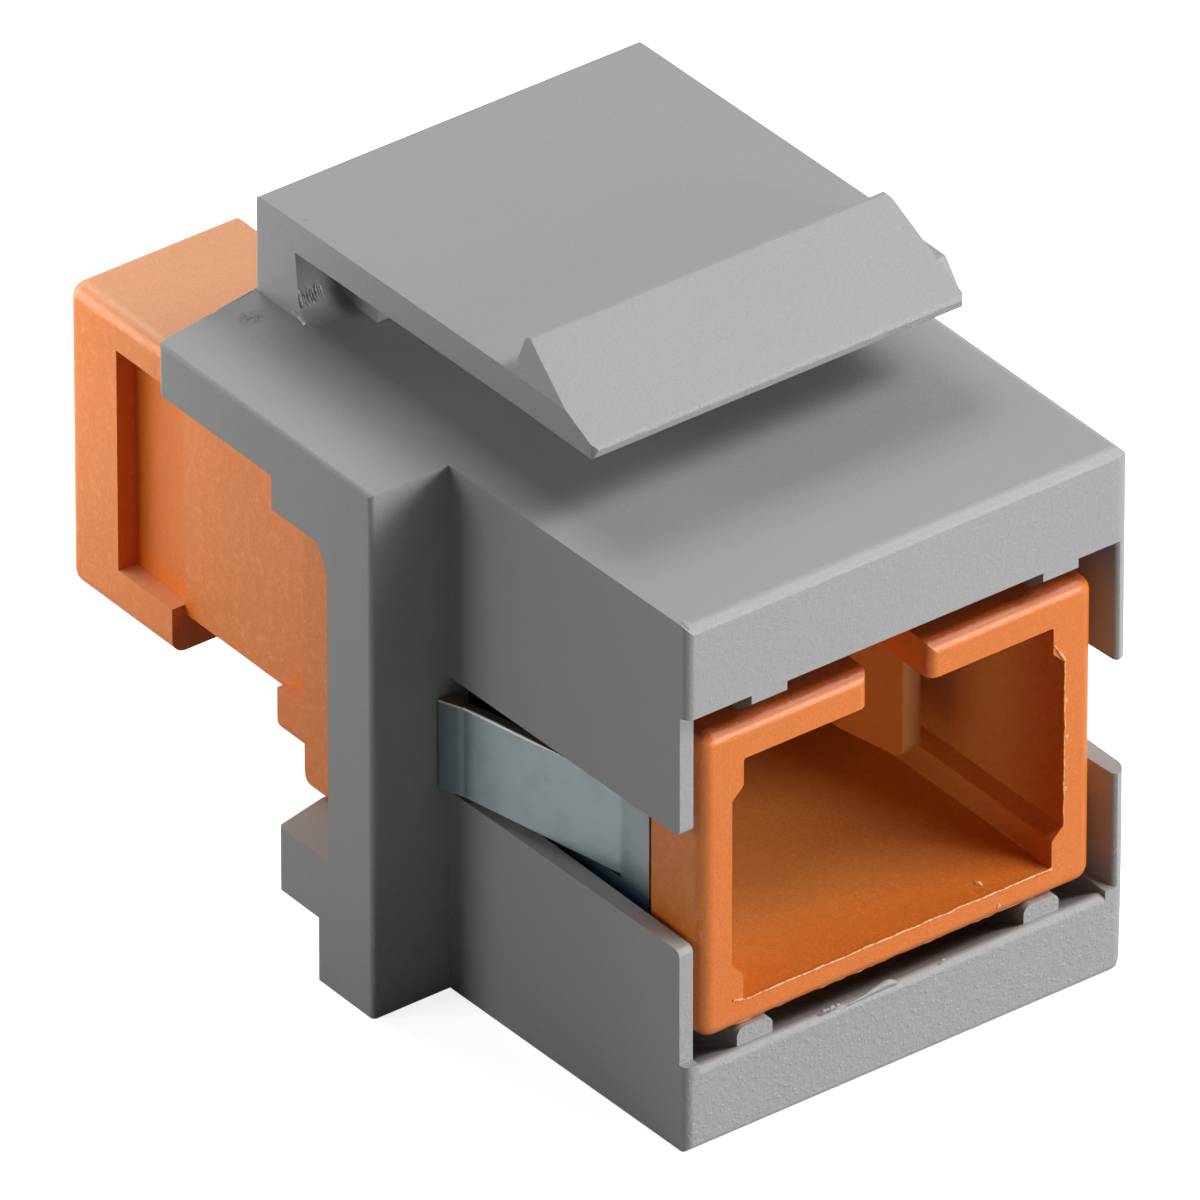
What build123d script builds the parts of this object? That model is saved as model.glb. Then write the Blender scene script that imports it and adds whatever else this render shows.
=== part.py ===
from build123d import *
import os
from math import radians, tan

# A simplex SC fibre adapter held in a keystone housing.
# X runs to the right, Y to the rear and Z up, in millimetres.
# The origin is on the optical axis, at the joint between the adapter's two halves.

# Plug opening of the adapter, the same at both ends
opening_width = 10.8
opening_height = 7.45
side_wall = 0.97
top_wall = 1.08
bottom_wall = 0.85
half_length = 13.7
outer_corner = 0.45
mouth_round = 0.38
opening_round = 0.08
guide_rib_width = 0.37
guide_rib_height = 0.82
guide_rib_slant = 0.36
keyway_width = 1.95
keyway_length = 8.6
keyway_round = 0.3

# Flange of the adapter, one ear each side, split between the halves
ear_reach = 1.73
ear_bottom = -3.65
ear_half_thickness = 1.05
ear_round = 0.45
ear_edge = 0.2

# Recess in each side of the adapter, and the strap groove across it
rim_length = 2.15
recess_depth = 0.42
pocket_depth = 0.2
recess_top = 3.72
recess_bottom = -3.15
strap_setback = 4.52
strap_width = 4.61
strap_groove = 0.4
strap_corner = 0.75

# Sleeve holders and the split sleeve between them
base_thickness = 0.9
base_margin = 0.45
base_side_clearance = 0.05
sleeve_bore = 2.5
sleeve_wall = 0.35
sleeve_length = 11.4
sleeve_slot = 0.5
sleeve_clearance = 0.05
sleeve_end_clearance = 0.1
tube_wall = 0.65
tube_lip = 0.5
tube_mouth = 2.65
tube_funnel = 0.35
tube_round = 0.2
arm_inner = 3.5
arm_thickness = 0.6
arm_half_height = 2.0
arm_reach = 9.4
arm_root = 1.1
hook_depth = 0.43
hook_ramp = 2.2
hook_length = 0.35
hook_round = 0.12
arm_foot_round = 0.2
arm_corner = 0.4
base_corner = 0.4

# Keystone housing
axis_height = 7.6
housing_height = 16.2
front_overhang = 0.25
body_left_front = 7.05
body_left_rear = 7.25
body_right_top = 7.26
body_right_base = 7.1
body_right_slot = 7.38
collar_left = 9.75
collar_right = 8.5
collar_front = -4.09
collar_thickness = 1.91
foot_thickness = 2.34
foot_height = 3.2
cavity_side_clearance = 0.25
cavity_right_flare = 0.28
cavity_bottom_clearance = 0.38
cavity_top_clearance = 0.96
wall_setback = 0.3
wall_end_round = 0.2
slot_bottom = -1.45
slot_top = 2.08
wall_edge_round = 0.2
sill_ramp_length = 2.0
sill_edge_round = 0.2
sill_floor_drop = 1.1
rib_width = 1.15
low_rib_left = -4.65
low_rib_right = 4.7
low_rib_setback = 0.25
high_rib_left = -4.4
high_rib_right = 5.05
high_rib_lead_in = 0.75
high_rib_front_height = 0.27
high_rib_clearance = 0.08
rib_round = 0.25
seat_clearance = 0.03
top_plate_thickness = 1.57
top_plate_rear = 5.05
top_plate_rear_centre = 5.65
web_thickness = 1.03
web_rear = 0.19
web_drop = 0.73
web_drop_rear = -1.81
lug_bottom = -5.65
lug_rear = -0.04
lug_chamfer = 0.37
lug_side_clearance = 0.04
front_round = 0.32
side_round = 0.25
bottom_round = 0.25
right_round = 0.5
small_round = 0.15

# Latch of the housing, moulded in one piece with it
latch_half_width = 6.2
latch_leg_thickness = 1.75
latch_gap_rear = 2.0
latch_gap_front = 2.18
latch_plate_thickness = 0.93
latch_side_front = -7.75
latch_side_draft = 0.75
latch_round = 0.3
wedge_right = 5.8
wedge_left_draft = 0.42
wedge_round = 0.12
ridge_width = 0.2
shoulder_reach = 6.05
wedge_rear = -5.45
wedge_height = 0.95
wedge_lip = -8.95
wedge_lip_height = 0.35
wedge_lip_undercut = 0.12
wedge_end_round = 0.25
gusset_half_width = 4.65
gusset_length = 1.48
gusset_round = 0.6
latch_cove = 0.8
leg_spread = 0.2

# Steel retaining clip, a U of thin sheet with two flared wings
sheet = 0.3
bend_radius = 0.7
clip_play = 0.04
clip_end_play = 0.2
wing_setback = 1.4
wing_bottom = -1.2
wing_top = 1.55
wing_flare = 11.4
wing_tip_length = 0.7
wing_tip_flare = 22.0
wing_end_gap = 0.05
wing_slit = 0.12

# How far one outline stands clear of another's surface, and how far a cut runs past its piece
skim = 0.004
beyond = 1.0

# Sizes worked out from the ones above
opening_x = opening_width / 2
opening_z = opening_height / 2
adapter_x = opening_x + side_wall
adapter_top = opening_z + top_wall
adapter_bottom = -opening_z - bottom_wall
recess_x = adapter_x - recess_depth
pocket_x = recess_x - pocket_depth
strap_floor = adapter_bottom + strap_groove
strap_far = half_length - strap_setback
strap_near = strap_far - strap_width
wing_root = -half_length + rim_length + wing_setback
ear_x = adapter_x + ear_reach
housing_bottom = -axis_height
housing_top = housing_bottom + housing_height
housing_front = -half_length - front_overhang
collar_rear = collar_front + collar_thickness
foot_rear = collar_rear + foot_thickness - collar_thickness
cavity_x = adapter_x + cavity_side_clearance
cavity_bottom = adapter_bottom - cavity_bottom_clearance
sill_floor = cavity_bottom - sill_floor_drop
cavity_top = adapter_top + cavity_top_clearance
plate_under = housing_top - top_plate_thickness
web_under = plate_under - web_thickness
seat_rear = -ear_half_thickness - seat_clearance
lug_top = ear_bottom - lug_side_clearance
sleeve_radius = sleeve_bore / 2 + sleeve_wall
tube_inner = sleeve_radius + sleeve_clearance
tube_outer = tube_inner + tube_wall
tube_reach = sleeve_length / 2 + sleeve_end_clearance + tube_lip
latch_under_rear = housing_top + latch_gap_rear
latch_under_front = housing_top + latch_gap_front
latch_top_front = latch_under_front + latch_plate_thickness


def block(x0, x1, y0, y1, z0, z1):
    """A box between two corners."""
    box = Box(x1 - x0, y1 - y0, z1 - z0)
    return Pos((x0 + x1) / 2, (y0 + y1) / 2, (z0 + z1) / 2) * box


def rounded_face(points):
    """Flat face through (a, b) points, a third number being the corner's radius."""
    corners = [(p[0], p[1]) for p in points]
    radii = [p[2] if len(p) > 2 else 0 for p in points]
    return make_face(FilletPolyline(*corners, radius=radii, close=True))


def seen_from_side(points, x0, x1):
    """A prism with a (y, z) outline, running from x0 to x1."""
    face = Plane.YZ.offset(x0) * rounded_face(points)
    return extrude(face, x1 - x0, dir=(1, 0, 0))


def seen_from_above(points, z0, z1):
    """A prism with an (x, y) outline, running from z0 to z1."""
    face = Plane.XY.offset(z0) * rounded_face(points)
    return extrude(face, z1 - z0, dir=(0, 0, 1))


def seen_from_front(points, y0, y1):
    """A prism with an (x, z) outline, running from y0 to y1."""
    face = Plane.XZ.offset(-y0) * rounded_face(points)
    return extrude(face, y1 - y0, dir=(0, 1, 0))


def both_sides(shape):
    """The shape with its mirror image on the other side of the middle plane."""
    return shape + mirror(shape, about=Plane.YZ)


# Adapter halves

def adapter_outside():
    """Body of one half with its ears, from the joint out to the plug end."""
    middle_z = (adapter_top + adapter_bottom) / 2
    section = RectangleRounded(2 * adapter_x, adapter_top - adapter_bottom, outer_corner)
    body = extrude(Plane.XZ * (Pos(0, middle_z) * section), amount=-half_length)
    end_face = body.faces().sort_by(Axis.Y)[-1]
    body = fillet(end_face.edges(), mouth_round)
    ear_side = [
        (-beyond, ear_bottom),
        (ear_half_thickness, ear_bottom, ear_round),
        (ear_half_thickness, adapter_top, ear_edge),
        (-beyond, adapter_top),
    ]
    low, high = ear_bottom - skim, adapter_top + skim
    ear_front = [
        (-ear_x, low, ear_edge),
        (ear_x, low, ear_edge),
        (ear_x, high, ear_edge),
        (-ear_x, high, ear_edge),
    ]
    ears = seen_from_side(ear_side, -ear_x - beyond, ear_x + beyond)
    return body + (ears & seen_from_front(ear_front, 0, half_length))


def plug_opening():
    """Space for the plug, narrowed by a guide rib in each corner."""
    waist = opening_z - guide_rib_height
    guided = opening_x - guide_rib_width
    corner = [
        (opening_x, waist - guide_rib_slant, opening_round),
        (guided, waist, opening_round),
        (guided, opening_z, opening_round),
    ]
    outline = list(corner)
    outline += [(-x, z, r) for x, z, r in reversed(corner)]
    outline += [(-x, -z, r) for x, z, r in corner]
    outline += [(x, -z, r) for x, z, r in reversed(corner)]
    return seen_from_front(outline, base_thickness, half_length)


def keyway():
    """Slot in the top wall for the plug's key, its two lips rounded at the mouth."""
    half = keyway_width / 2
    wide = half + 2 * keyway_round
    outline = [
        (-half, half_length - keyway_length),
        (half, half_length - keyway_length),
        (half, half_length, keyway_round),
        (wide, half_length),
        (wide, half_length + beyond),
        (-wide, half_length + beyond),
        (-wide, half_length),
        (-half, half_length, keyway_round),
    ]
    return seen_from_above(outline, 0, adapter_top)


def base_pocket():
    """Pocket in the joint face that takes the base plate of a sleeve holder."""
    x = opening_x + base_margin
    z = opening_z + base_margin
    return block(-x, x, 0, base_thickness, -z, z)


def side_recess():
    """Recess in the right side between rim and ears, with its deeper pocket."""
    rim = half_length - rim_length
    clear = adapter_x + outer_corner
    recess = block(recess_x, clear, ear_half_thickness, rim, recess_bottom, recess_top)
    pocket = block(pocket_x, clear, strap_far, rim, recess_bottom, recess_top)
    return recess + pocket


def strap_groove_cut():
    """Groove that carries the clip's strap under the body and up both sides."""
    beyond_x = adapter_x + strap_groove
    beyond_z = adapter_bottom - strap_groove
    outline = [
        (recess_x, recess_bottom),
        (recess_x, strap_floor + strap_corner),
        (recess_x - strap_corner, strap_floor),
        (-recess_x + strap_corner, strap_floor),
        (-recess_x, strap_floor + strap_corner),
        (-recess_x, recess_bottom),
        (-beyond_x, recess_bottom),
        (-beyond_x, beyond_z),
        (beyond_x, beyond_z),
        (beyond_x, recess_bottom),
    ]
    return seen_from_front(outline, strap_near, strap_far)


def adapter_half():
    """One half of the adapter, reaching from the joint to the rear."""
    half = adapter_outside() - plug_opening() - keyway() - base_pocket()
    half -= both_sides(side_recess())
    return half - strap_groove_cut()


# Sleeve holders and sleeve

def sleeve_tube():
    """Tube around one half of the sleeve, its lip opening outwards like a funnel."""
    outline = [
        (tube_inner, 0),
        (tube_outer, 0),
        (tube_outer, tube_reach, tube_round),
        (tube_mouth / 2 + tube_funnel, tube_reach),
        (tube_mouth / 2, tube_reach - tube_lip),
        (tube_inner, tube_reach - tube_lip),
    ]
    return revolve(rounded_face(outline), Axis.Y)


def latch_arm():
    """Right arm that snaps over the plug, with its hook's long ramp turned inwards."""
    outer = arm_inner + arm_thickness
    hook = arm_inner - hook_depth
    crest = arm_reach - hook_ramp
    plan = [
        (arm_inner - arm_thickness / 2, 0),
        (outer, 0),
        (outer, arm_reach, hook_round),
        (arm_inner, arm_reach, hook_round),
        (hook, crest, hook_round),
        (hook, crest - hook_length),
        (arm_inner, crest - hook_length - hook_depth),
        (arm_inner, arm_root, arm_foot_round),
        (arm_inner - arm_thickness / 2, arm_root),
    ]
    side = [
        (-beyond, -arm_half_height),
        (arm_reach + skim, -arm_half_height, arm_corner),
        (arm_reach + skim, arm_half_height, arm_corner),
        (-beyond, arm_half_height),
    ]
    arm = seen_from_above(plan, -arm_half_height - beyond, arm_half_height + beyond)
    return arm & seen_from_side(side, 0, outer + beyond)


def sleeve_holder():
    """Base plate, tube and two latch arms of the rear holder."""
    x = opening_x + base_margin - base_side_clearance
    z = opening_z + base_margin - base_side_clearance
    r = base_corner
    outline = [(-x, -z, r), (x, -z, r), (x, z, r), (-x, z, r)]
    base = seen_from_front(outline, 0, base_thickness)
    holder = base + sleeve_tube() + both_sides(latch_arm())
    bore = Cylinder(tube_inner, 2 * base_thickness, rotation=(90, 0, 0))
    return holder - bore


def alignment_sleeve():
    """Split sleeve that lines the two ferrules up."""
    tube = Cylinder(sleeve_radius, sleeve_length) - Cylinder(sleeve_bore / 2, sleeve_length)
    slot = Pos(0, -sleeve_radius, 0) * Box(sleeve_slot, 2 * sleeve_radius, sleeve_length)
    return Rot(90, 0, 0) * (tube - slot)


# Keystone housing

def body_block(outer_z, slot_z, right_outer, outer_round):
    """Front body above or below the slots, without its cavity."""
    outward = skim if outer_z > slot_z else -skim
    section = [
        (-collar_left, slot_z),
        (-collar_left, outer_z + outward),
        (right_outer, outer_z + outward, right_round),
        (body_right_slot, slot_z),
    ]
    plan = [
        (-body_left_front, housing_front, side_round),
        (body_right_slot + skim, housing_front, right_round),
        (body_right_slot + skim, beyond),
        (-body_left_rear, beyond),
        (-body_left_rear, collar_front),
    ]
    side = [
        (housing_front - skim, slot_z),
        (housing_front - skim, outer_z, outer_round),
        (collar_front, outer_z),
        (collar_front, slot_z),
    ]
    body = seen_from_side(side, -collar_left - beyond, collar_left)
    body &= seen_from_front(section, housing_front - beyond, beyond)
    return body & seen_from_above(plan, housing_bottom - beyond, housing_top + beyond)


def collar():
    """Collar, foot, web and top plate behind the body."""
    foot_top = housing_bottom + foot_height
    side = [
        (collar_front, housing_bottom),
        (foot_rear, housing_bottom),
        (foot_rear, foot_top),
        (collar_rear, foot_top),
        (collar_rear, web_under - web_drop),
        (web_drop_rear, web_under),
        (web_rear, web_under),
        (web_rear, plate_under),
        (top_plate_rear_centre, plate_under, latch_round),
        (top_plate_rear_centre, housing_top),
        (collar_front, housing_top),
    ]
    plan = [
        (-collar_left, collar_front - skim, small_round),
        (collar_right, collar_front - skim, small_round),
        (collar_right, top_plate_rear, small_round),
        (latch_half_width, top_plate_rear_centre + skim),
        (-latch_half_width, top_plate_rear_centre + skim),
        (-collar_left, top_plate_rear, small_round),
    ]
    front = [
        (-collar_left - skim, housing_bottom - beyond),
        (-collar_left - skim, housing_top + skim, small_round),
        (collar_right + skim, housing_top + skim, small_round),
        (collar_right + skim, housing_bottom - beyond),
    ]
    shoulder = seen_from_side(side, -collar_left - beyond, collar_left + beyond)
    shoulder &= seen_from_above(plan, housing_bottom - beyond, housing_top + beyond)
    return shoulder & seen_from_front(front, housing_front, -housing_front)


def housing_cavity():
    """Passage for the adapter, open to front and rear, with the left wall set back."""
    right_front = cavity_x + cavity_right_flare
    outline = [
        (-cavity_x, housing_front - beyond),
        (right_front + 2 * wall_edge_round, housing_front - beyond),
        (right_front + 2 * wall_edge_round, housing_front),
        (right_front, housing_front, wall_edge_round),
        (cavity_x, (housing_front + collar_front) / 2),
        (cavity_x, foot_rear + beyond),
        (-cavity_x, foot_rear + beyond),
    ]
    passage = seen_from_above(outline, cavity_bottom, cavity_top)
    wall_front = housing_front + wall_setback
    relief = []
    for slot_z, edge_z in ((slot_top, cavity_top), (slot_bottom, cavity_bottom)):
        side = [
            (housing_front - beyond, slot_z),
            (housing_front - beyond, edge_z),
            (wall_front, edge_z),
            (wall_front, slot_z, wall_end_round),
            (wall_front + 2 * wall_end_round, slot_z),
            (wall_front + 2 * wall_end_round, (slot_top + slot_bottom) / 2),
            (housing_front - beyond, (slot_top + slot_bottom) / 2),
        ]
        relief.append(seen_from_side(side, -collar_left, 0))
    trough = block(-cavity_x, cavity_x, housing_front - beyond, collar_front, sill_floor, adapter_bottom)
    return passage + relief[0] + relief[1] + trough


def sill_ramp():
    """Front edge of the sill, from which the floor slopes down to the rear."""
    side = [
        (housing_front, sill_floor),
        (housing_front, cavity_bottom, sill_edge_round),
        (housing_front + sill_ramp_length, sill_floor),
    ]
    return seen_from_side(side, -cavity_x, cavity_x)


def low_rib(x):
    """Rib on the sill that carries the adapter."""
    section = [
        (x - rib_width / 2, sill_floor),
        (x - rib_width / 2, adapter_bottom, rib_round),
        (x + rib_width / 2, adapter_bottom, rib_round),
        (x + rib_width / 2, sill_floor),
    ]
    return seen_from_front(section, housing_front + low_rib_setback, collar_front)


def high_rib(x):
    """Rib under the bridge, flush with its front, with a lead-in down to the adapter."""
    tip = adapter_top + high_rib_clearance
    side = [
        (housing_front, cavity_top + skim),
        (housing_front, cavity_top - high_rib_front_height),
        (housing_front + high_rib_lead_in, tip),
        (collar_front, tip),
        (collar_front, cavity_top + skim),
    ]
    section = [
        (x - rib_width / 2, cavity_top + beyond),
        (x - rib_width / 2, tip - skim, rib_round),
        (x + rib_width / 2, tip - skim, rib_round),
        (x + rib_width / 2, cavity_top + beyond),
    ]
    return seen_from_side(side, x - rib_width, x + rib_width) & seen_from_front(section, housing_front, 0)


def ear_seat():
    """Pad behind the collar on the right that the adapter's ear bears on."""
    return block(cavity_x, ear_x, collar_rear, seat_rear, ear_bottom, adapter_top)


def ear_lug(side, reach):
    """Lug behind the foot that carries the ear from below."""
    outline = [
        (side * cavity_x, collar_rear),
        (side * reach, collar_rear),
        (side * reach, lug_rear, small_round),
        (side * ear_x, lug_rear + lug_chamfer),
        (side * cavity_x, lug_rear + lug_chamfer),
    ]
    return seen_from_above(outline, lug_bottom, lug_top)


def latch_plate():
    """Leg and plate of the latch, up to where the wedge starts."""
    root = top_plate_rear_centre
    leg_front = root - latch_leg_thickness
    side = [
        (root, plate_under + latch_round),
        (root, latch_under_rear + latch_plate_thickness, latch_round),
        (wedge_rear, latch_top_front),
        (wedge_rear, latch_under_front),
        (leg_front, latch_under_rear),
        (leg_front - leg_spread, housing_top),
        (leg_front - leg_spread, plate_under + latch_round),
    ]
    plan = [
        (-latch_half_width, housing_front),
        (latch_half_width, housing_front),
        (latch_half_width, root + skim, small_round),
        (-latch_half_width, root + skim, small_round),
    ]
    plate = seen_from_side(side, -collar_left, collar_left)
    return plate & seen_from_above(plan, cavity_top, latch_top_front + beyond)


def latch_wedge():
    """Wedge across the front of the latch, with a lip and a drafted left end."""
    ridge = latch_top_front + wedge_height
    side = [
        (wedge_rear, latch_under_front),
        (wedge_rear, ridge, wedge_round),
        (wedge_rear - ridge_width, ridge, wedge_round),
        (wedge_lip, latch_under_front + wedge_lip_height, wedge_round),
        (wedge_lip + wedge_lip_undercut, latch_under_front, wedge_round),
    ]
    front = [
        (-latch_half_width, housing_top),
        (-latch_half_width, latch_top_front),
        (-latch_half_width + wedge_left_draft, ridge + skim, wedge_round),
        (wedge_right, ridge + skim, wedge_round),
        (wedge_right, housing_top),
    ]
    plan = [
        (-latch_half_width - skim, beyond),
        (-latch_half_width - skim, wedge_lip, wedge_end_round),
        (wedge_right + skim, wedge_lip, wedge_end_round),
        (wedge_right + skim, beyond),
    ]
    wedge = seen_from_side(side, -collar_left, collar_left)
    wedge &= seen_from_front(front, housing_front, beyond)
    return wedge & seen_from_above(plan, housing_top, ridge + beyond)


def latch_shoulder():
    """Narrow end of the plate that shows beside the wedge on the right."""
    side = [
        (wedge_rear, latch_under_front),
        (wedge_rear, latch_top_front),
        (latch_side_front, latch_top_front, wedge_round),
        (latch_side_front - latch_side_draft, latch_under_front, wedge_round),
    ]
    return seen_from_side(side, wedge_right, shoulder_reach)


def latch_gusset():
    """Rib between leg and top plate that stiffens the latch's root."""
    leg_front = top_plate_rear_centre - latch_leg_thickness
    outer = gusset_half_width + 2 * gusset_round
    top = latch_under_rear + latch_plate_thickness / 2
    outline = [
        (-outer, leg_front + leg_spread),
        (-outer, leg_front),
        (-gusset_half_width, leg_front, gusset_round),
        (-gusset_half_width, leg_front - gusset_length),
        (gusset_half_width, leg_front - gusset_length),
        (gusset_half_width, leg_front, gusset_round),
        (outer, leg_front),
        (outer, leg_front + leg_spread),
    ]
    return seen_from_above(outline, housing_top, top)


def latch_root_cove():
    """Hollow fillet between the latch's leg and the top plate, to the right of the gusset."""
    leg = top_plate_rear_centre - latch_leg_thickness
    face = leg - leg_spread
    face_at_top = leg - leg_spread * (1 - latch_cove / latch_gap_rear)
    inside = housing_top - top_plate_thickness / 2
    side = [
        (leg, inside),
        (leg, housing_top + latch_cove),
        (face_at_top, housing_top + latch_cove),
        (face, housing_top, latch_cove - small_round),
        (face - latch_cove, housing_top),
        (face - latch_cove, inside),
    ]
    return seen_from_side(side, gusset_half_width - gusset_round, latch_half_width)


def keystone_housing():
    """The whole moulding of the housing with its latch."""
    shell = body_block(housing_top, slot_top, body_right_top, front_round)
    shell += body_block(housing_bottom, slot_bottom, body_right_base, bottom_round)
    shell += collar()
    shell -= housing_cavity()
    shell += sill_ramp() + low_rib(low_rib_left) + low_rib(low_rib_right)
    shell += high_rib(high_rib_left) + high_rib(high_rib_right)
    shell += both_sides(ear_seat())
    shell += ear_lug(-1, collar_left) + ear_lug(1, collar_right)
    shell += both_sides(latch_root_cove())
    return shell + latch_plate() + latch_wedge() + latch_shoulder() + latch_gusset()


# Retaining clip

def clip_strap():
    """U of sheet under the adapter, running up both sides of it."""
    inner = recess_x + clip_play
    floor = strap_floor - clip_play
    outer = inner + sheet
    low = floor - sheet
    top = recess_top - clip_end_play
    outside = bend_radius + sheet
    section = [
        (inner, top),
        (inner, floor, bend_radius),
        (-inner, floor, bend_radius),
        (-inner, top),
        (-outer, top),
        (-outer, low, outside),
        (outer, low, outside),
        (outer, top),
    ]
    return seen_from_front(section, -strap_far + clip_end_play, -strap_near - clip_end_play)


def clip_leg():
    """Right leg plate between the rim and the ear, with the window the wing leaves."""
    inner = recess_x + clip_play
    plate = block(
        inner, inner + sheet,
        -half_length + rim_length + clip_end_play, -ear_half_thickness - clip_end_play,
        recess_bottom + clip_end_play, recess_top - clip_end_play,
    )
    window = block(
        inner - sheet, inner + 2 * sheet,
        wing_root, collar_front + wing_slit,
        wing_bottom - wing_slit, wing_top + wing_slit,
    )
    return plate - window


def clip_wing():
    """Right wing, flared from its root in the leg to its free end at the collar."""
    inner = recess_x + clip_play
    root_y = wing_root
    tip_y = collar_front - wing_end_gap
    bend_y = tip_y - wing_tip_length
    bend_x = inner + (bend_y - root_y) * tan(radians(wing_flare))
    tip_x = bend_x + wing_tip_length * tan(radians(wing_tip_flare))
    outline = [
        (inner, root_y - sheet),
        (inner, root_y, bend_radius),
        (bend_x, bend_y, bend_radius),
        (tip_x, tip_y),
        (tip_x + sheet, tip_y),
        (bend_x + sheet, bend_y, bend_radius),
        (inner + sheet, root_y, bend_radius),
        (inner + sheet, root_y - sheet),
    ]
    return seen_from_above(outline, wing_bottom, wing_top)


def retention_clip():
    """The whole clip."""
    return clip_strap() + both_sides(clip_leg() + clip_wing())


# Assembly

def to_front(shape):
    """A piece of the rear half turned into its partner in the front half."""
    return mirror(shape, about=Plane.XZ)


rear_half = adapter_half()
rear_holder = sleeve_holder()

pieces = {
    "keystone_housing": keystone_housing(),
    "adapter_front_half": to_front(rear_half),
    "adapter_rear_half": rear_half,
    "retention_clip": retention_clip(),
    "front_sleeve_holder": to_front(rear_holder),
    "rear_sleeve_holder": rear_holder,
    "alignment_sleeve": alignment_sleeve(),
}

os.makedirs("parts", exist_ok=True)
for name, shape in pieces.items():
    export_step(shape, f"parts/{name}.step")
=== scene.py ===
from math import cos, radians, sin

import bmesh
import bpy
from mathutils import Matrix, Vector, noise


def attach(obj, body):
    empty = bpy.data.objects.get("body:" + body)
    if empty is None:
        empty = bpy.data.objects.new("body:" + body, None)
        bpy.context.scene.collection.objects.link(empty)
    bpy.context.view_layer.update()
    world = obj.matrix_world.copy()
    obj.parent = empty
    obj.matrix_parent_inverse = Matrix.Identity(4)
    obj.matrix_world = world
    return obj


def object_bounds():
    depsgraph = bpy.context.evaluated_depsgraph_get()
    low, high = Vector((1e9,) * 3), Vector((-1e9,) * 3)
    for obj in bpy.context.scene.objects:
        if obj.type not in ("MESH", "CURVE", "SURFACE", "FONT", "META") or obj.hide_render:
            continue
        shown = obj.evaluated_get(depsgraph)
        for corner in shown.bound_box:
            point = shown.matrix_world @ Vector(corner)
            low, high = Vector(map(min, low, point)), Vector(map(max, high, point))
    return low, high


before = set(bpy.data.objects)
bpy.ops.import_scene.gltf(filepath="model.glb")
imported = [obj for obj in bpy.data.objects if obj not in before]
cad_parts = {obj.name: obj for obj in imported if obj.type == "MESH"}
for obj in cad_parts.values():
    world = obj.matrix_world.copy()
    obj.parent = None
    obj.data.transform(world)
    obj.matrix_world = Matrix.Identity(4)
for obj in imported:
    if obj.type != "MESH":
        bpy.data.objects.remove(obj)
cad_box = [list(corner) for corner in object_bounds()]

# A simplex SC fibre adapter in a keystone housing, dressed for its portrait.
# Places and sizes are in millimetres in the frame of the part: X right, Y to the rear, Z up.

MM = 0.001

# The view of the photograph
view_azimuth = -37.206
view_elevation = 33.281
view_distance = 802.9
view_centre = (-2.276, -3.977, 2.413)
lens_length = 930.24
sensor_width = 36.0
nearest_seen = 50
farthest_seen = 10000

# The white paper and the room: how much light each returns to the part, and the glow that
# makes the paper white to the camera
paper_half_width = 3000
paper_shade = 0.22
paper_glow = 0.8
room_light = 0.015

# Colours, as they show on a screen
housing_grey = (0.640, 0.640, 0.640)
# pale grey of scratches, and a painted highlight along the latch plate's rear edge
scuffed_and_highlight_grey = (0.900, 0.900, 0.900)
adapter_orange = (0.875, 0.472, 0.170)
# painted sheen for the top of the rear end
painted_sheen_orange = (0.900, 0.655, 0.470)
# painted light: a brighter orange for the outer sides
lit_side_orange = (0.960, 0.530, 0.180)
# painted light: a brighter orange for the side pockets
lit_pocket_orange = (0.960, 0.500, 0.130)
# painted shade for the tops of the lips under the bridge
shaded_lip_orange = (0.660, 0.260, 0.065)
# painted light: paler oranges that lift the shade inside the socket
lit_inner_orange = (0.855, 0.550, 0.275)
lit_depth_orange = (0.950, 0.690, 0.385)
lit_wall_orange = (0.970, 0.800, 0.550)
holder_orange = (0.900, 0.660, 0.400)
# painted shade for the holders' faces to the front and rear
shaded_holder_brown = (0.700, 0.430, 0.220)
# pale orange of flash and bloom, and a painted highlight on the opening's edges
flash_bloom_and_highlight_orange = (0.960, 0.740, 0.560)
sheet_steel = (0.582, 0.632, 0.643)
stained_steel = (0.500, 0.550, 0.560)
straw_steel = (0.700, 0.620, 0.480)
# painted shade with a blue reflection under the wing
shaded_blue_steel = (0.390, 0.490, 0.600)
# painted shadow on the wing's tip
shadowed_tip_steel = (0.200, 0.230, 0.250)
# near white that paints a highlight on the wing's burr
glint_bare_steel = (0.900, 0.900, 0.890)
sleeve_bronze = (0.800, 0.620, 0.420)
dark_bronze = (0.660, 0.480, 0.300)

# The adapter: half its length, its opening's half width and half height, the half width
# between the guide ribs and across the side recesses, and its underside
half_length = 13.7
opening_x = 5.4
opening_z = 3.725
guided_x = 5.03
recess_x = 5.95
adapter_bottom = -4.575

# The housing: its body, sill and collar, and the latch's root behind the collar
housing_top = 8.6
housing_front = -13.95
body_left = -7.05
sill_top = -4.955
collar_front = -4.09
latch_left = -6.2
leg_front = 3.75

# The clip's wing
wing_top = 1.55
wing_bottom = -1.2

# Names of material slots that are passed with the small pieces, though nothing reads them
housing_slot = "housing_plastic"
adapter_slot = "adapter_plastic"

# How quickly the unevenness of strands, lumps and the sill's crest changes along them
wander_rate = 3.1
bulk_rate = 4.3
lump_rate = 2.3
crest_rate = 3.7

# Sockets of the Mix node that take and give a colour
first_colour = 6
second_colour = 7
mixed_colour = 2


def linear(colour):
    """A screen colour as the light it stands for, by the curve of a standard screen."""
    return [c / 12.92 if c <= 0.04045 else ((c + 0.055) / 1.055) ** 2.4 for c in colour]


# Shader maths

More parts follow.
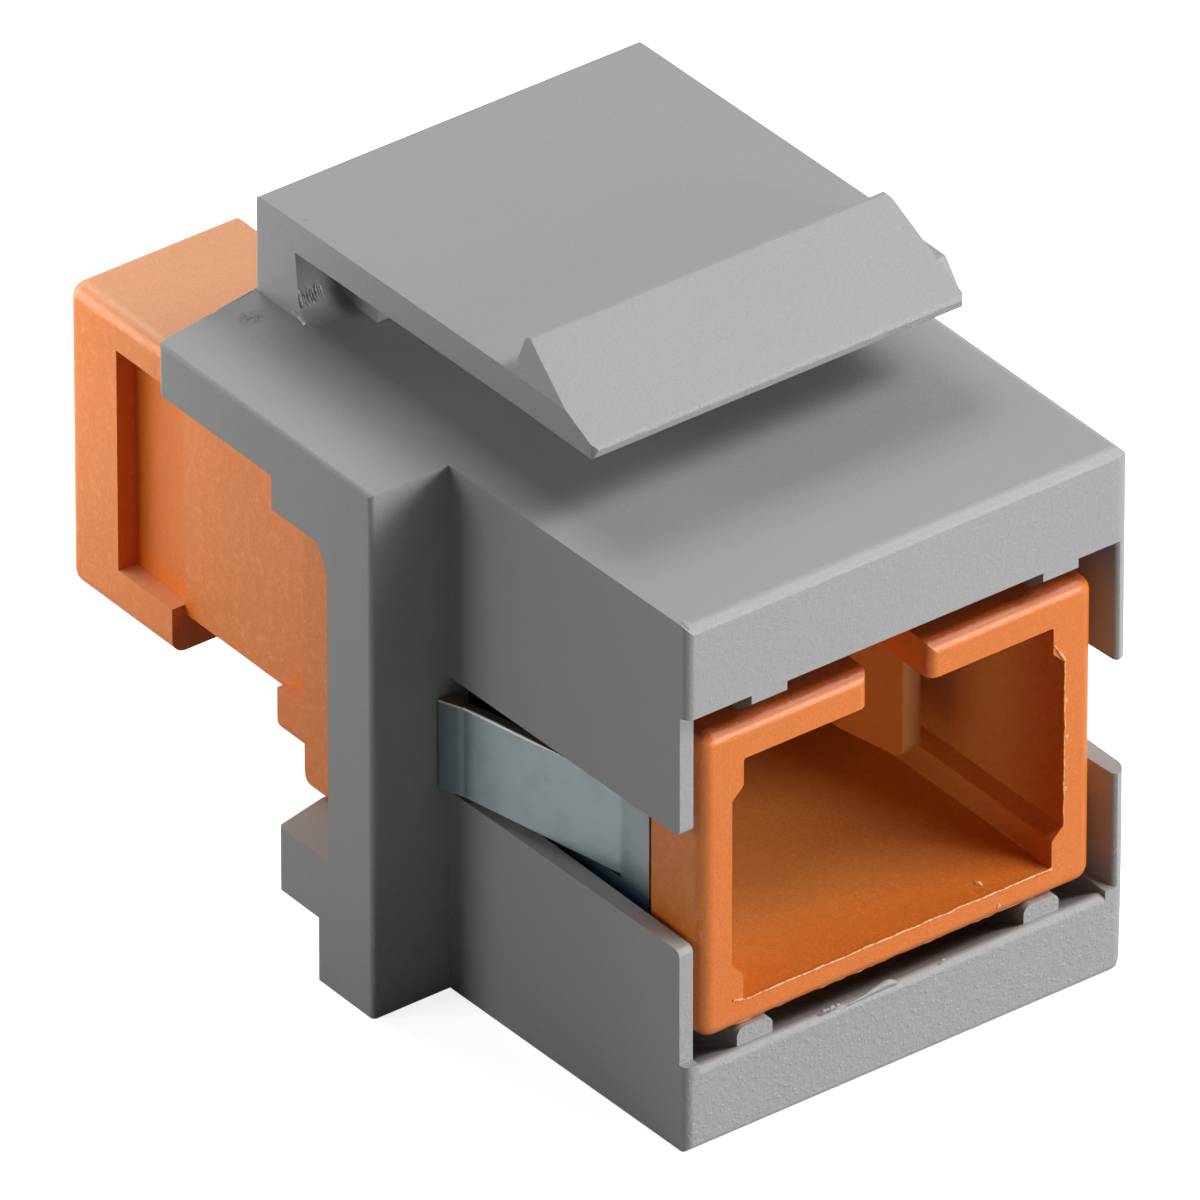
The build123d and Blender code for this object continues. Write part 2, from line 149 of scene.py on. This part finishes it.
class Field:
    """A number that changes over a surface, which Python's operators can work on."""

    def __init__(self, tree, socket):
        self.tree = tree
        self.socket = socket

    def math(self, operation, *others):
        """A Math node on this number and others."""
        values = [self.socket]
        values += [o.socket if isinstance(o, Field) else o for o in others]
        return make(self.tree, "ShaderNodeMath", {"operation": operation}, values)

    def __add__(self, other):
        return self.math("ADD", other)

    __radd__ = __add__

    def __mul__(self, other):
        return self.math("MULTIPLY", other)

    __rmul__ = __mul__

    def __sub__(self, other):
        return self.math("SUBTRACT", other)

    def __rsub__(self, other):
        return -self + other

    def __neg__(self):
        return self.math("MULTIPLY", -1.0)

    def __abs__(self):
        return self.math("ABSOLUTE")

    def step(self, low, high):
        """0 below low, 1 above high and smooth between them."""
        values = {"Value": self.socket, "From Min": low, "From Max": high}
        settings = {"interpolation_type": "SMOOTHSTEP"}
        return make(self.tree, "ShaderNodeMapRange", settings, values)

    def within(self, reach, blur):
        """1 where the number is nearer to 0 than reach, with a soft edge of a width blur."""
        return (reach - abs(self)).step(0, blur)

    def swing(self, amount):
        """A noise of 0 to 1 as a change about 0, amount from end to end."""
        return (self - 0.5) * amount

    def either(self, other):
        """The greater of two numbers."""
        return self.math("MAXIMUM", other)


def make(tree, kind, settings=None, values=None, output=0):
    """A node with its settings, then the values or links of its sockets, as the field it gives."""
    node = tree.nodes.new(kind)
    for name, setting in (settings or {}).items():
        setattr(node, name, setting)
    pairs = values.items() if isinstance(values, dict) else enumerate(values or [])
    for key, value in pairs:
        value = value.socket if isinstance(value, Field) else value
        if isinstance(value, bpy.types.NodeSocket):
            tree.links.new(value, node.inputs[key])
        else:
            node.inputs[key].default_value = value
    return Field(tree, node.outputs[output]) if node.outputs else node


def mixed(tree, share, first, second):
    """A mix of two colours, each a field or the four numbers of a colour."""
    values = {"Factor": share, first_colour: first, second_colour: second}
    return make(tree, "ShaderNodeMix", {"data_type": "RGBA"}, values, output=mixed_colour)


def bare_tree(block):
    """The empty node tree of a new material or world."""
    block.use_nodes = True
    block.node_tree.nodes.clear()
    return block.node_tree


class Finish:
    """One material: its place on the part in millimetres, and the nodes that paint it."""

    def __init__(self, name):
        self.material = bpy.data.materials.new(name)
        self.tree = bare_tree(self.material)
        place = make(self.tree, "ShaderNodeTexCoord", output="Object")
        self.place = self.vector("SCALE", place, Scale=1 / MM)
        self.x, self.y, self.z = self.parts(self.place)
        facing = make(self.tree, "ShaderNodeNewGeometry", output="Normal")
        self.facing_x, self.facing_y, self.facing_z = self.parts(facing)

    def vector(self, operation, *values, output=0, **named):
        """A Vector Math node on vectors, with its named sockets."""
        links = dict(enumerate(values), **named)
        return make(self.tree, "ShaderNodeVectorMath", {"operation": operation}, links, output)

    def parts(self, vector):
        """The three numbers of a vector."""
        node = self.tree.nodes.new("ShaderNodeSeparateXYZ")
        self.tree.links.new(vector.socket, node.inputs[0])
        return [Field(self.tree, s) for s in node.outputs]

    def noise(self, grain, detail=3.0, roughness=0.55, stretch=(1, 1, 1)):
        """Noise whose cells are about grain millimetres across."""
        place = self.vector("MULTIPLY", self.place, stretch)
        values = {"Vector": place, "Scale": 1 / grain, "Detail": detail, "Roughness": roughness}
        return make(self.tree, "ShaderNodeTexNoise", None, values)

    def pits(self, grain):
        """Distance to the nearest of points scattered about grain millimetres apart."""
        values = {"Vector": self.place, "Scale": 1 / grain}
        return make(self.tree, "ShaderNodeTexVoronoi", None, values)

    def near(self, point, reach, stretch=(1, 1, 1)):
        """1 at a point, falling to 0 at reach from it."""
        offset = self.vector("SUBTRACT", self.place, point)
        offset = self.vector("MULTIPLY", offset, stretch)
        return 1 - self.vector("LENGTH", offset, output="Value").step(0.0, reach)

    def mix(self, share, first, second):
        """Two colours mixed, each a screen colour or a field."""
        colours = [c if isinstance(c, Field) else (*linear(c), 1.0) for c in (first, second)]
        return mixed(self.tree, share, *colours)

    def shade(self, colour, amount):
        """A colour made lighter or darker by a factor that changes over the surface."""
        return self.vector("SCALE", colour, Scale=amount)

    def surface(self, colour, roughness, height, depth, **constants):
        """The material, with its colour, roughness and relief joined to the output."""
        bump = {"Height": height, "Distance": depth * MM, "Strength": 1.0}
        values = {
            "Base Color": colour,
            "Roughness": roughness,
            "Normal": make(self.tree, "ShaderNodeBump", None, bump),
            **constants,
        }
        shader = make(self.tree, "ShaderNodeBsdfPrincipled", None, values)
        make(self.tree, "ShaderNodeOutputMaterial", None, {"Surface": shader})
        return self.material


# Finishes

def housing_finish():
    """Grey moulded plastic with a fine grain, coarser and sparkling on the faces to the front.

    The bridge is smoother than the sill and the latch. There is a dark speck on the latch's plate,
    and the top is scarred beside the latch's root.
    """
    f = Finish("housing_moulded_grey")
    cloud = f.noise(grain=6.0, detail=2.0)
    grain = f.noise(grain=0.07, detail=2.0, roughness=0.7)
    coarse = f.noise(grain=0.2, detail=4.0, roughness=0.75)
    sill = (-f.z).step(2.0, 5.0)
    latch = f.z.step(9.0, 10.0)
    front = (-f.facing_y).step(0.35, 0.8) * (sill.either(latch) * 0.7 + 0.3)
    sparks = (0.3 - f.pits(grain=0.19)).step(0.0, 0.2) * front
    speck = f.near((-5.93, 3.76, 11.6), reach=0.09)
    scar = f.near((-7.15, 4.6, housing_top), reach=0.55, stretch=(1, 1.3, 1))
    scar = scar * coarse.step(0.42, 0.58)
    tone = 1 + cloud.swing(0.06) + grain.swing(0.2) + coarse.swing(0.22) * front + sparks * 0.12
    tone = tone * (1 - speck * 0.45) * (1 - scar * 0.3)
    height = grain * 0.35 + coarse * (0.4 + front * 2.0 + scar * 3) + sparks * 0.6
    colour = f.shade(linear(housing_grey), tone)
    return f.surface(colour, 0.52 + cloud.swing(0.1), height, depth=0.02)


def scuff_and_highlight_finish():
    """The same grey where it was scratched or torn, paler, with fine streaks; on the strand along
    the plate's rear edge the paleness is a painted highlight.
    """
    f = Finish("housing_scuffed_and_highlight_grey")
    streak = f.noise(grain=0.06, detail=3.0, stretch=(1, 1, 0.3))
    colour = f.mix(streak.step(0.4, 0.62), housing_grey, scuffed_and_highlight_grey)
    return f.surface(colour, 0.5 + streak * 0.1, streak, depth=0.02)


def adapter_finish():
    """Orange moulded plastic with a fine pale grain.

    It is painted paler on top of the rear end as a painted sheen, and painted paler inside, most of
    all deep in the front socket, as painted light that lifts the shade there. The tops of the lips
    are painted deeper as painted shade under the bridge, and the outer sides and pockets are
    painted brighter as painted light. Its sides have a mottled bloom outside the pocket.
    """
    f = Finish("adapter_moulded_orange")
    skin = 0.05
    cloud = f.noise(grain=3.0, detail=2.0)
    grain = f.noise(grain=0.08, detail=3.0, roughness=0.75)
    mottle = f.noise(grain=0.24, detail=4.0, roughness=0.7)
    from_mouth = half_length - abs(f.y)
    inside = f.x.within(opening_x + skin, blur=0.04) * f.z.within(opening_z + skin, blur=0.04)
    outside = 1 - inside
    front_half = (-f.y).step(0.0, 1.0)
    behind_mouth = inside * from_mouth.step(0.2, 4.0)
    deep_inside = inside * from_mouth.step(3.0, 7.0)
    side = abs(f.facing_x).step(0.6, 0.9)
    outer_side = side * outside
    pocket = f.x.within(recess_x - skin, blur=0.05) * outer_side
    # painted sheen: the top of the rear end is painted paler where light glances off it
    rear_top = f.facing_z.step(0.6, 0.95) * f.y.step(1, 3) * outside
    # painted shade: the tops of the lips are painted deeper where the bridge shades them
    lip_top_shade = f.facing_z.step(0.45, 0.8) * (-f.y).step(9, 11) * outside
    colour = f.mix(rear_top * 0.75, adapter_orange, painted_sheen_orange)
    colour = f.mix(lip_top_shade * 0.8, colour, shaded_lip_orange)
    # painted light: the outer sides are painted brighter than the lamps light them
    colour = f.mix(outer_side, colour, lit_side_orange)
    # painted light: the side pockets are painted brighter to lift the shade in them
    colour = f.mix(pocket, colour, lit_pocket_orange)
    # painted light: the inside is painted paler to lift its shade and reddened bounce light, most
    # of all deep in the front socket and on its side walls
    colour = f.mix(behind_mouth, colour, lit_inner_orange)
    colour = f.mix(deep_inside * front_half, colour, lit_depth_orange)
    colour = f.mix(behind_mouth * side * front_half, colour, lit_wall_orange)
    side_bloom = mottle.step(0.5, 0.75) * outer_side * (1 - pocket)
    bloom = grain.step(0.5, 0.8) * 0.22 + side_bloom * 0.3
    colour = f.mix(bloom, colour, flash_bloom_and_highlight_orange)
    speckle = grain.swing(0.14 + inside * 0.3)
    colour = f.shade(colour, 1 + cloud.swing(0.06) + speckle + mottle.swing(0.2))
    return f.surface(colour, 0.35 + cloud.swing(0.12), grain + mottle * 0.8, depth=0.012)


def holder_finish():
    """The holders' orange, painted browner on the faces to the front and rear as painted shade."""
    f = Finish("holder_moulded_orange")
    cloud = f.noise(grain=2.0, detail=2.0)
    grain = f.noise(grain=0.08, detail=3.0, roughness=0.75)
    # painted shade: the faces to the front and rear are painted browner and darker
    front_or_rear = abs(f.facing_y).step(0.5, 0.9)
    colour = f.mix(front_or_rear * 0.8, holder_orange, shaded_holder_brown)
    colour = f.shade(colour, 1 + cloud.swing(0.1) + grain.swing(0.2))
    return f.surface(colour, 0.45 + grain * 0.1, grain, depth=0.012)


def flash_and_highlight_finish():
    """The orange where it is drawn out thin along an edge, pale and slightly ragged; along the
    opening's rounded edges its paleness is a painted highlight.
    """
    f = Finish("adapter_flash_and_painted_highlight")
    ragged = f.noise(grain=0.12, detail=3.0)
    # on the strands along the opening this pale is a painted highlight of the rounded edges
    colour = f.mix(ragged.step(0.35, 0.6), adapter_orange, flash_bloom_and_highlight_orange)
    return f.surface(colour, 0.4 + ragged * 0.1, ragged, depth=0.01)


def clip_finish():
    """Rolled spring steel, faintly stained.

    The wing's tip is painted dark as painted shadow from the collar, its sheared upper edge has a
    straw tint, and the strip under the wing is painted dark blue as painted shade with a blue
    reflection.
    """
    f = Finish("clip_spring_steel")
    rolled = f.noise(grain=0.25, detail=4.0, stretch=(1, 0.12, 1))
    stain = f.noise(grain=0.9, detail=3.0)
    # painted shadow: the wing's tip, in the collar's shadow, is painted dark
    tip = (f.y - collar_front).step(-1.15, -0.5)
    edge = (f.z - wing_top).step(-0.1, -0.02)
    # painted shade: the strip under the wing is painted dark blue, as shade with a blue reflection
    under_wing_shade = (wing_bottom - f.z).step(0.1, 0.2)
    colour = f.mix(stain.step(0.45, 0.7) * 0.35, sheet_steel, stained_steel)
    colour = f.mix(tip * 0.8, colour, shadowed_tip_steel)
    colour = f.mix(under_wing_shade * 0.8, colour, shaded_blue_steel)
    colour = f.mix(edge * stain.step(0.4, 0.6) * 0.7, colour, straw_steel)
    return f.surface(colour, 0.36 + rolled.swing(0.2), rolled, depth=0.004, Metallic=1.0)


def burr_and_glint_finish():
    """Bare steel where the sheet was sheared, painted near white as a painted highlight."""
    f = Finish("clip_burr_and_painted_glint")
    rolled = f.noise(grain=0.2, detail=3.0)
    # painted highlight: the burr is near white to stand in for light glinting on the edge
    colour = f.shade(linear(glint_bare_steel), 0.9 + rolled * 0.2)
    return f.surface(colour, 0.5 + rolled * 0.1, rolled, depth=0.002, Metallic=0.4)


def sleeve_finish():
    """Satin bronze."""
    f = Finish("sleeve_bronze")
    rolled = f.noise(grain=0.2, detail=3.0, stretch=(1, 0.15, 1))
    colour = f.mix(rolled * 0.3, sleeve_bronze, dark_bronze)
    return f.surface(colour, 0.3 + rolled * 0.1, rolled, depth=0.003, Metallic=1.0)


def dress(node, material):
    """Gives a solid of the part its finish."""
    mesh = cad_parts[node].data
    mesh.materials.clear()
    mesh.materials.append(material)


# Small things that the moulding and the tools left behind, some of which also stand in as painted
# highlights

def keep(piece, material):
    """Puts a new piece in the scene, fixed to the part."""
    piece.data.materials.append(material)
    bpy.context.collection.objects.link(piece)
    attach(piece, "root")


def strand(name, points, thickness, material):
    """A thin drawn-out thread through points, with half its thickness at each."""
    curve = bpy.data.curves.new(name, "CURVE")
    curve.dimensions = "3D"
    curve.bevel_depth = MM
    curve.bevel_resolution = 2
    curve.use_fill_caps = True
    spline = curve.splines.new("POLY")
    spline.points.add(len(points) - 1)
    for dot, place, half in zip(spline.points, points, thickness):
        dot.co = (*(Vector(place) * MM), 1)
        dot.radius = half
    keep(bpy.data.objects.new(name, curve), material)


def ragged_line(name, start, end, step, half, wander, material, slot):
    """A strand from start to end, about half thick to each side, that wanders a little."""
    start, end = Vector(start), Vector(end)
    fewest = 3
    thinnest = 0.55
    swell = 0.9
    count = max(fewest, round((end - start).length / step))
    points = []
    thickness = []
    for i in range(count + 1):
        place = start.lerp(end, i / count)
        sways = [place * wander_rate + Vector((0, 0, apart)) for apart in (0, 20, 40)]
        points.append(place + Vector([noise.noise(sway) for sway in sways]) * wander)
        thickness.append(half * (thinnest + swell * abs(noise.noise(place * bulk_rate))))
    strand(name, points, thickness, material)


def lump(name, centre, size, rough, material):
    """A small irregular drop of plastic, melted into the surface it sits on."""
    bm = bmesh.new()
    bmesh.ops.create_icosphere(bm, subdivisions=4, radius=1.0)
    for vert in bm.verts:
        vert.co *= 1 + rough * noise.noise(vert.co * lump_rate + Vector(centre))
    bmesh.ops.scale(bm, vec=[s * MM for s in size], verts=bm.verts)
    bmesh.ops.translate(bm, vec=Vector(centre) * MM, verts=bm.verts)
    for face in bm.faces:
        face.smooth = True
    mesh = bpy.data.meshes.new(name)
    bm.to_mesh(mesh)
    bm.free()
    keep(bpy.data.objects.new(name, mesh), material)


def flash_and_highlight_round_opening(flash):
    """Flash on the adapter: along its front opening, its lower seam, and a few nicks; along the
    opening the pale strands and nicks are also painted highlights on the rounded edges.
    """
    mouth = -half_length - 0.01
    seam_y = mouth + 0.25
    seam_z = adapter_bottom + 0.03
    lines = (
        ("flash_highlight_under_opening", (-guided_x, mouth, -opening_z), (guided_x, mouth, -opening_z),
         {"step": 0.16, "half": 0.04, "wander": 0.025}),
        ("flash_highlight_right_of_opening", (opening_x, mouth, -2.5), (opening_x, mouth, 2.5),
         {"step": 0.16, "half": 0.03, "wander": 0.025}),
        ("flash_highlight_left_of_opening", (-guided_x, mouth, -3.7), (-guided_x - 0.33, mouth, -3.6),
         {"step": 0.1, "half": 0.05, "wander": 0.02}),
        ("flash_highlight_at_upper_rib", (guided_x + 0.02, mouth, 3.2), (opening_x, mouth, 2.6),
         {"step": 0.1, "half": 0.055, "wander": 0.03}),
        ("seam_under_adapter", (-5.9, seam_y, seam_z), (4.6, seam_y, seam_z),
         {"step": 0.2, "half": 0.04, "wander": 0.02}),
    )
    for name, start, end, sizes in lines:
        ragged_line(name, start, end, material=flash, slot=adapter_slot, **sizes)
    for i, (x, z) in enumerate(((5.42, 1.35), (5.47, 0.2), (5.44, -1.4), (3.3, -4.2))):
        lump(f"nick_{i + 1}", (x, mouth, z), (0.05, 0.02, 0.07), 0.6, flash)
    nick_size = (0.09, 0.12, 0.03)
    lump("nick_on_floor", (3.1, mouth + 0.6, -opening_z), nick_size, 0.5, flash)


def flash_on_sill(grey):
    """A low strand of grey flash on the sill that swells to the right, and the crumbs beside it."""
    left = -1.75
    length = 1.6
    last = 24
    setback = 0.02
    thin_end = 0.02
    swell = 0.14
    sunk = 0.12
    rise = 0.1
    unevenness = 0.012
    crest = []
    bulk = []
    for i in range(last + 1):
        share = i / last
        x = left + share * length
        hump = share ** 1.5 * (1 - share ** 8)
        uneven = noise.noise((x * crest_rate, 3.0, 0.0))
        half = thin_end + hump * swell
        z = sill_top - sunk + hump * rise + uneven * unevenness
        crest.append((x, housing_front + half + setback, z))
        bulk.append(half)
    strand("flash_on_sill", crest, bulk, grey)
    crumbs = ((-2.55, 0.05), (-2.3, 0.06), (-2.42, 0.04), (-2.1, 0.045), (1.35, 0.035))
    crumb_stretch = 1.6
    for i, (x, half) in enumerate(crumbs):
        centre = (x, housing_front + 0.07, sill_top - 0.03)
        size = (crumb_stretch * half, half, half)
        lump(f"crumb_on_sill_{i + 1}", centre, size, 0.3, grey)


def drop_at_corner(grey):
    """The small drop at the upper left corner of the bridge."""
    centre = (body_left + 0.16, housing_front + 0.34, housing_top - 0.07)
    lump("drop_at_corner", centre, (0.15, 0.24, 0.1), 0.15, grey)


def scratches_at_latch(scuffed):
    """Scratches on the left end of the latch's leg, the torn edge at its root, and a pale strand
    along the plate's rear edge beside the root that is a painted highlight.
    """
    count = 9
    pitch = 0.085
    lean = 0.03
    highest = 9.5
    lowest = 8.98
    for i in range(count):
        x = latch_left + 0.05 + i * pitch
        upper = (x - lean, leg_front + 0.04, highest - 0.06 * (i % 3))
        lower = (x + lean, leg_front - 0.1, lowest + 0.05 * (i % 2))
        ragged_line(f"scratch_{i + 1}", upper, lower, step=0.06, half=0.03, wander=0.01,
                    material=scuffed, slot=housing_slot)
    ragged_line("torn_edge", (latch_left, 3.98, 8.76), (latch_left, 3.45, 8.6),
                step=0.07, half=0.075, wander=0.03, material=scuffed, slot=housing_slot)
    # painted highlight: a pale strand along the plate's rear edge stands in for light on its
    # rounded rim
    rim_start = (-8.4, 5.25, housing_top - 0.03)
    rim_end = (latch_left, 5.63, housing_top - 0.02)
    ragged_line("highlight_rim_at_latch", rim_start, rim_end,
                step=0.12, half=0.04, wander=0.02, material=scuffed, slot=housing_slot)


def burr_on_wing(burr):
    """The burr along the sheared upper edge of the clip's left wing, whose near-white colour is a
    painted highlight.
    """
    edge = ((-7.37, -4.86), (-7.15, -5.9), (-6.95, -6.9), (-6.7, -8.1))
    points = [(x, y, wing_top) for x, y in edge]
    strand("burr_on_wing", points, (0.035, 0.05, 0.045, 0.01), burr)


# Floor, light and camera

def ray(tree, kind):
    """1 for rays of one kind, and 0 for others."""
    return make(tree, "ShaderNodeLightPath", output=kind)


def floor():
    """White paper that shows white to the camera and returns only a little light."""
    material = bpy.data.materials.new("white_paper")
    tree = bare_tree(material)
    camera_ray = ray(tree, "Is Camera Ray")
    seen = camera_ray.either(ray(tree, "Is Glossy Ray"))
    colour = mixed(tree, seen, (paper_shade, paper_shade, paper_shade, 1), (1, 1, 1, 1))
    paper = make(tree, "ShaderNodeBsdfDiffuse", None, {"Color": colour})
    glow_values = {"Color": (1, 1, 1, 1), "Strength": camera_ray * paper_glow}
    glow = make(tree, "ShaderNodeEmission", None, glow_values)
    both = make(tree, "ShaderNodeAddShader", None, [paper, glow])
    make(tree, "ShaderNodeOutputMaterial", None, {"Surface": both})
    bm = bmesh.new()
    bmesh.ops.create_grid(bm, x_segments=1, y_segments=1, size=paper_half_width * MM)
    bmesh.ops.translate(bm, verts=bm.verts, vec=(0, 0, cad_box[0][2]))
    mesh = bpy.data.meshes.new("paper_floor")
    bm.to_mesh(mesh)
    bm.free()
    mesh.materials.append(material)
    sheet = bpy.data.objects.new("paper_floor", mesh)
    bpy.context.collection.objects.link(sheet)


def surroundings():
    """A white room to the camera and to reflections, and a dim one for soft light."""
    world = bpy.data.worlds.new("white_room")
    tree = bare_tree(world)
    seen = ray(tree, "Is Camera Ray").either(ray(tree, "Is Glossy Ray"))
    seen = seen.either(ray(tree, "Is Transmission Ray"))
    strength = seen * (1 - room_light) + room_light
    back_values = {"Color": (1, 1, 1, 1), "Strength": strength}
    back = make(tree, "ShaderNodeBackground", None, back_values)
    make(tree, "ShaderNodeOutputWorld", None, {"Surface": back})
    bpy.context.scene.world = world


def outward(azimuth, elevation):
    """The direction at an azimuth and elevation in degrees, seen from the part."""
    azimuth = radians(azimuth)
    elevation = radians(elevation)
    level = cos(elevation)
    return Vector((sin(azimuth) * level, -cos(azimuth) * level, sin(elevation)))


def soft_lamp(name, azimuth, elevation, distance, size, power):
    """A square lamp that looks at the part from a direction, with its power in watts."""
    lamp = bpy.data.lights.new(name, "AREA")
    lamp.shape = "SQUARE"
    lamp.size = size * MM
    lamp.energy = power
    direction = outward(azimuth, elevation)
    holder = bpy.data.objects.new(name, lamp)
    holder.location = direction * distance * MM
    holder.rotation_euler = direction.to_track_quat("Z", "Y").to_euler()
    bpy.context.collection.objects.link(holder)


def camera():
    """The camera of the photograph."""
    back = outward(view_azimuth, view_elevation)
    right = Vector((0, 0, 1)).cross(back).normalized()
    up = back.cross(right)
    place = Vector(view_centre) + back * view_distance
    data = bpy.data.cameras.new("portrait_camera")
    data.sensor_width = sensor_width
    data.lens = lens_length
    data.clip_start = nearest_seen * MM
    data.clip_end = farthest_seen * MM
    seat = bpy.data.objects.new("portrait_camera", data)
    turn = Matrix((right, up, back)).transposed().to_4x4()
    seat.matrix_world = Matrix.Translation(place * MM) @ turn
    bpy.context.collection.objects.link(seat)
    bpy.context.scene.camera = seat


# Putting it together

grey = housing_finish()
orange = adapter_finish()
brown = holder_finish()
dress("keystone_housing", grey)
dress("adapter_front_half", orange)
dress("adapter_rear_half", orange)
dress("front_sleeve_holder", brown)
dress("rear_sleeve_holder", brown)
dress("retention_clip", clip_finish())
dress("alignment_sleeve", sleeve_finish())

flash_and_highlight_round_opening(flash_and_highlight_finish())
flash_on_sill(grey)
drop_at_corner(grey)
scratches_at_latch(scuff_and_highlight_finish())
burr_on_wing(burr_and_glint_finish())

floor()
surroundings()
soft_lamp("right_window", azimuth=50, elevation=50, distance=260, size=100, power=0.408)
soft_lamp("front_lamp", azimuth=25, elevation=8, distance=260, size=80, power=0.465)
soft_lamp("left_lamp", azimuth=-112, elevation=20, distance=200, size=90, power=0.105)
soft_lamp("rear_top_lamp", azimuth=170, elevation=55, distance=260, size=120, power=0.192)
soft_lamp("near_rear_lamp", azimuth=-150, elevation=12, distance=30, size=14, power=0.0031)
camera()

scene = bpy.context.scene
scene.view_settings.view_transform = "Standard"
